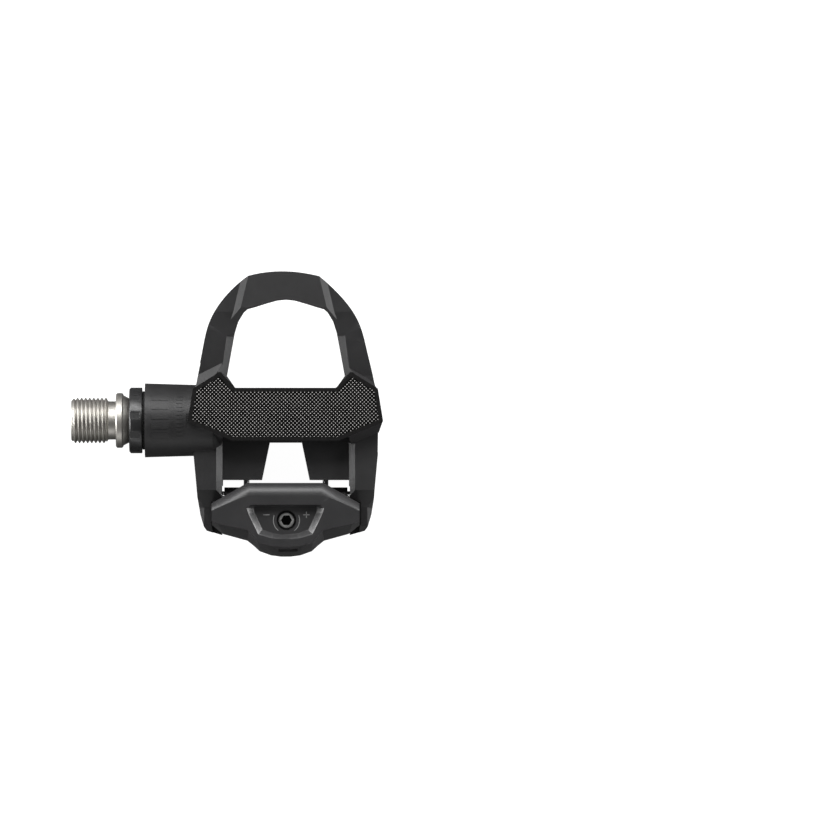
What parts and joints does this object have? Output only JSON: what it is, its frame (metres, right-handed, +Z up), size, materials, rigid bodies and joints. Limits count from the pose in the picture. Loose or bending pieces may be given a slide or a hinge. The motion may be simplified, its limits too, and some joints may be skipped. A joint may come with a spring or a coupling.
{
  "type": "clipless road pedal",
  "caption": "Right-hand clipless road pedal: composite body with open nose loop, knurled plate, threaded axle on bearings and a sprung rear clip with tension screw.",
  "frame": {"origin": "on the axle axis, in the plane of the axle flange's crank side face", "axes": "+X along the axle away from the crank, +Y towards the nose of the pedal, +Z up to the shoe"},
  "size_m": [0.0977, 0.0893, 0.0261],
  "materials": {
    "composite": "moulded satin black",
    "clip_composite": "moulded satin black",
    "plate_black": "black coated, knurled field, smooth rim",
    "collar_black": "satin black",
    "rubber_black": "matt",
    "spindle_steel": "turned, satin",
    "bearing_steel": "ground",
    "ball_chrome": "polished",
    "cage_brass": "plain",
    "bush_brass": "plain",
    "pin_steel": "satin",
    "spring_steel": "dark satin",
    "screw_dark": "dark satin",
    "sleeve_grey": "plain",
    "indicator_red": "red"
  },
  "bodies": {
    "axle": {"spindle": "spindle_steel", "end_washer": "bearing_steel", "end_nut": "bearing_steel", "ball_inner_race": "bearing_steel"},
    "body": {"pedal_body": "composite", "grip_plate": "plate_black", "plate_screws": "bearing_steel", "axle_collar": "collar_black", "collar_ring": "rubber_black", "lip_seal": "rubber_black", "axle_sleeve": "sleeve_grey", "needle_shell": "bearing_steel", "ball_outer_race": "bearing_steel", "clip_pin": "pin_steel", "pin_cap_inboard": "pin_steel", "pin_cap_outboard": "pin_steel"},
    "needle_set": {"needle_rollers": "bearing_steel", "needle_cage": "cage_brass"},
    "ball_set": {"bearing_balls": "ball_chrome", "ball_cage": "cage_brass"},
    "clip": {"rear_clip": "clip_composite", "bush_left": "bush_brass", "bush_right": "bush_brass", "spring_sleeve": "sleeve_grey", "spring_left": "spring_steel", "spring_right": "spring_steel"},
    "screw": {"tension_screw": "screw_dark", "screw_clip": "spring_steel"},
    "nut": {"tension_nut": "bearing_steel", "tension_indicator": "indicator_red"}
  },
  "joints": [
    {"name": "pedal_spin", "type": "hinge", "parent": "axle", "child": "body", "pos_m": [0, 0, 0], "axis": [1, 0, 0], "continuous": true},
    {"name": "needle_spin", "type": "hinge", "parent": "axle", "child": "needle_set", "pos_m": [0, 0, 0], "axis": [1, 0, 0], "continuous": true},
    {"name": "ball_spin", "type": "hinge", "parent": "axle", "child": "ball_set", "pos_m": [0, 0, 0], "axis": [1, 0, 0], "continuous": true},
    {"name": "clip_hinge", "type": "hinge", "parent": "body", "child": "clip", "pos_m": [0.0532, -0.024, -0.004], "axis": [1, 0, 0], "range_deg": [0, 14], "stiffness_Nm_per_rad": 1.5, "springref_deg": -22.92, "deforming": ["spring_left", "spring_right"]},
    {"name": "screw_turn", "type": "hinge", "parent": "clip", "child": "screw", "pos_m": [0.0535, -0.0312, 0.008], "axis": [0, 0, -1], "range_deg": [-600, 600], "deforming": ["spring_left", "spring_right"]},
    {"name": "nut_slide", "type": "slide", "parent": "clip", "child": "nut", "axis": [0, 0, -1], "range_m": [-0.00117, 0.00117], "deforming": ["spring_left", "spring_right"]}
  ],
  "couplings": [
    {"joint": "needle_spin", "follows": "pedal_spin", "ratio": 0.583},
    {"joint": "ball_spin", "follows": "pedal_spin", "ratio": 0.625},
    {"joint": "screw_turn", "follows": "nut_slide", "rad_per_m": 8976}
  ]
}
